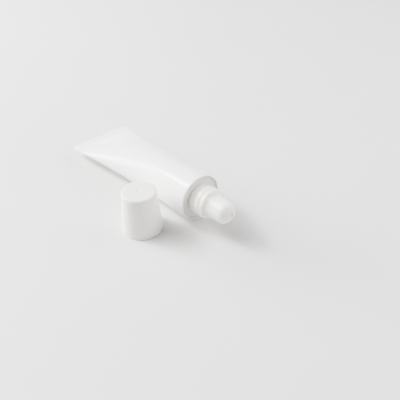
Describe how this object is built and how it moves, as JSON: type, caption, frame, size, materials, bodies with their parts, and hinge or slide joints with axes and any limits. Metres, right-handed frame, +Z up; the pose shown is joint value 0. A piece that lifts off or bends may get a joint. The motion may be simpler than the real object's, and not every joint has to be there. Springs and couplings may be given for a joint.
{
  "type": "lip balm tube",
  "caption": "Small squeeze tube lying on its belly, sealed flat at the tail, with a threaded neck and a rounded applicator tip; its tapered screw cap is off and stands beside it.",
  "frame": {"origin": "on the floor, at the centre of the footprint of the tube and its cap", "axes": "+X along the tube towards its applicator tip, +Y from the cap towards the tube, +Z up"},
  "size_m": [0.0926, 0.0436, 0.0203],
  "materials": {
    "sleeve_plastic": "satin white polyethylene",
    "natural_plastic": "natural, milky translucent polyethylene",
    "cap_plastic": "satin white polypropylene"
  },
  "bodies": {
    "tube": {"squeeze_tube": "sleeve_plastic", "applicator_head": "natural_plastic"},
    "cap": {"screw_cap": "cap_plastic"}
  },
  "joints": [
    {"name": "cap_lift", "type": "slide", "parent": "tube", "child": "cap", "axis": [0, 0, 1], "range_m": [0, 0.03]}
  ]
}
